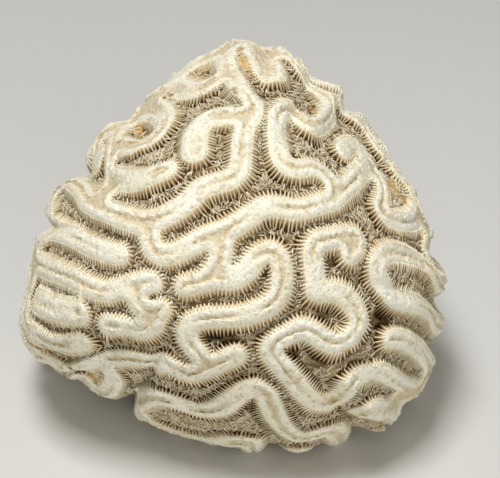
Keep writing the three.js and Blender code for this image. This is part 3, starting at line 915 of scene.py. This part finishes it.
def chalkySkeleton():
    finish = skeletonFinish
    material, tree, shader = newMaterial("chalky skeleton")
    hollow = attributeOf(tree, "hollow")
    # both depth ramps turn brown toward the valley floors and dark in the deepest holes: partly dirt, partly
    # painted shade
    colour = mixOf(tree, attributeOf(tree, "worn"), rampOf(tree, hollow, finish["stops"]),
                   rampOf(tree, hollow, finish["wornStops"]))
    # grooves and pores painted tan, partly as shade in them
    inPits = addNode(tree, "ShaderNodeMath", {"operation": "MULTIPLY"}, {
        0: attributeOf(tree, "pitted"), 1: finish["pitShare"]}).outputs[0]
    colour = mixOf(tree, inPits, colour, linear(finish["pitColourAndShade"]))
    # spongy floor: its own colour with painted shade
    colour = mixOf(tree, attributeOf(tree, "spongy"), colour, linear(finish["spongeColourAndShade"]))
    grain = noiseOf(tree, finish["grainMillimetres"], 4.0)
    # painted shade of pinholes, as dark tan dots
    pinholeShade = rampOf(tree, grain, finish["pinholeShade"])
    colour = mixOf(tree, finish["pinholeShadeShare"], colour, pinholeShade, "MULTIPLY")
    patches = rampOf(tree, noiseOf(tree, finish["patchMillimetres"], 3.0), finish["patches"])
    colour = mixOf(tree, finish["patchShare"], colour, patches, "MULTIPLY")
    setSurface(tree, shader, colour, grain, finish)
    return material


# Blades are cleaner than the walls they stand on: cream along the top edge, tan at the foot, and darker with
# depth, partly dirt and partly painted shade
bladeFinish = {
    "stops": ((0.0, "#FAF7E6"), (0.22, "#F5EED8"), (0.42, "#E2D2AC"), (0.64, "#AF936A"), (1.0, "#45382B")),
    "darkest": "#DCCBA6",
    "grainMillimetres": 0.4,
    "bumpStrength": 0.4, "bumpHeight": 0.00006,
    "roughness": 0.75,
}
# The rods are a tangle of light and dark ones at random, and brown where it lies deep, as painted shade by
# depth
spongeFinish = {
    "stops": ((0.0, "#FAF7E6"), (0.36, "#F1E8CF"), (0.62, "#D2C19A"), (0.9, "#4A3D2E")),
    "darkest": "#BFAF90",
    "grainMillimetres": 0.3333,
    "bumpStrength": 0.4, "bumpHeight": 0.00006,
    "roughness": 0.85,
}


# Each copy has a shade of its own, which makes a row of them look grown one by one. Such thin
# parts let some light through, so their shaded sides stay warm instead of going grey.
def thinSkeleton(name, finish):
    material, tree, shader = newMaterial(name)
    # the colour darkens with depth: partly dirt, partly painted shade
    byDepth = rampOf(tree, attributeOf(tree, "hollow"), finish["stops"])
    ownShade = rampOf(tree, attributeOf(tree, "shade"), ((0.0, finish["darkest"]), (0.8, "#FFFFFF")))
    colour = mixOf(tree, 0.6, byDepth, ownShade, "MULTIPLY")
    setSurface(tree, shader, colour, noiseOf(tree, finish["grainMillimetres"], 2.0), finish)
    shader.inputs["Subsurface Weight"].default_value = 0.1
    shader.inputs["Subsurface Scale"].default_value = 0.001
    shader.inputs["Subsurface Radius"].default_value = (1.0, 0.75, 0.45)
    return material


def addCamera():
    # aimed at the picture's centre point, on the plane through the middle of the head
    view = photoView
    middle = np.array([*head["middleOffset"], head["cutDepth"]])
    eye = middle + viewBack * view["eyeDistance"]
    right, up = pictureToMillimetres([(view["width"] / 2, view["height"] / 2)])
    target = middle + viewRight * right[0] + viewUp * up[0]
    data = bpy.data.cameras.new("camera")
    data.sensor_width = 36
    data.lens = data.sensor_width * view["eyeDistance"] / (view["width"] * view["millimetresPerPoint"])
    data.clip_start = 0.01
    camera = bpy.data.objects.new("camera", data)
    camera.location = eye / 1000
    camera.rotation_euler = Vector(target - eye).to_track_quat("-Z", "Y").to_euler()
    bpy.context.collection.objects.link(camera)
    bpy.context.scene.camera = camera


# A soft lamp close above the head and a wide one low in front, over a plain pale floor
studio = {
    "floorColour": "#D9D8D4", "floorSize": 4, "floorRoughness": 0.9,
    "keyPlace": (-0.08, -0.1, 0.58), "keySize": 0.18, "keyPower": 2.5,
    "fillPlace": (0.2, -0.65, 0.18), "fillSize": 0.6, "fillPower": 1.7,
    "lampsAim": (0, 0, 0.035),
    "skyColour": "#F1EFEA", "skyStrength": 0.25,
}


def addLight(name, place, size, power):
    data = bpy.data.lights.new(name, "AREA")
    data.size = size
    data.energy = power
    light = bpy.data.objects.new(name, data)
    light.location = place
    towards = Vector(studio["lampsAim"]) - Vector(place)
    light.rotation_euler = towards.to_track_quat("-Z", "Y").to_euler()
    bpy.context.collection.objects.link(light)


def addStudio():
    deselectAll()
    bpy.ops.mesh.primitive_plane_add(size=studio["floorSize"])
    floor = bpy.context.object
    floor.name = "floor"
    material, _, shader = newMaterial("pale floor")
    shader.inputs["Base Color"].default_value = linear(studio["floorColour"])
    shader.inputs["Roughness"].default_value = studio["floorRoughness"]
    floor.data.materials.append(material)
    addLight("key light", studio["keyPlace"], studio["keySize"], studio["keyPower"])
    addLight("fill light", studio["fillPlace"], studio["fillSize"], studio["fillPower"])
    world = bpy.data.worlds.new("soft sky")
    world.use_nodes = True
    sky = world.node_tree.nodes["Background"]
    sky.inputs["Color"].default_value = linear(studio["skyColour"])
    sky.inputs["Strength"].default_value = studio["skyStrength"]
    bpy.context.scene.world = world
    bpy.context.scene.view_settings.view_transform = "Standard"


def finishPiece(piece, material):
    piece.data.materials.clear()
    piece.data.materials.append(material)
    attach(piece, "root")
    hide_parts("coral")


addCamera()
addStudio()
print("camera and studio placed")

headPiece, septaPlaces = makeSkeleton()
finishPiece(headPiece, chalkySkeleton())

# blades and rods stand only where the wall's side is above the flat cut
standing = toFrame(septaPlaces[0])[:, 2] > 0.0004
places, outward, headings, middle = (each[standing] for each in septaPlaces)
worn = wornAt(places)
sponge = makeColumella(places, outward, headings, middle, worn)
finishPiece(sponge, thinSkeleton("spongy columella", spongeFinish))
print("columella", len(sponge.data.polygons), "faces")

# worn blades are shorter
reach = septaReach(middle) * (1 - 0.35 * worn)
blade = makeBlade()
bladeMaterial = thinSkeleton("cream blades", bladeFinish)
for name, rank in septaRanks.items():
    own = slice(rank["first"], None, len(septaRanks))
    piece = makeSepta(name, blade, places[own], outward[own], headings[own], reach[own] * rank["reach"],
                      worn[own], septa["thickness"] * rank["thickness"])
    finishPiece(piece, bladeMaterial)
    print(name, len(piece.data.polygons), "faces")
bpy.data.objects.remove(blade)
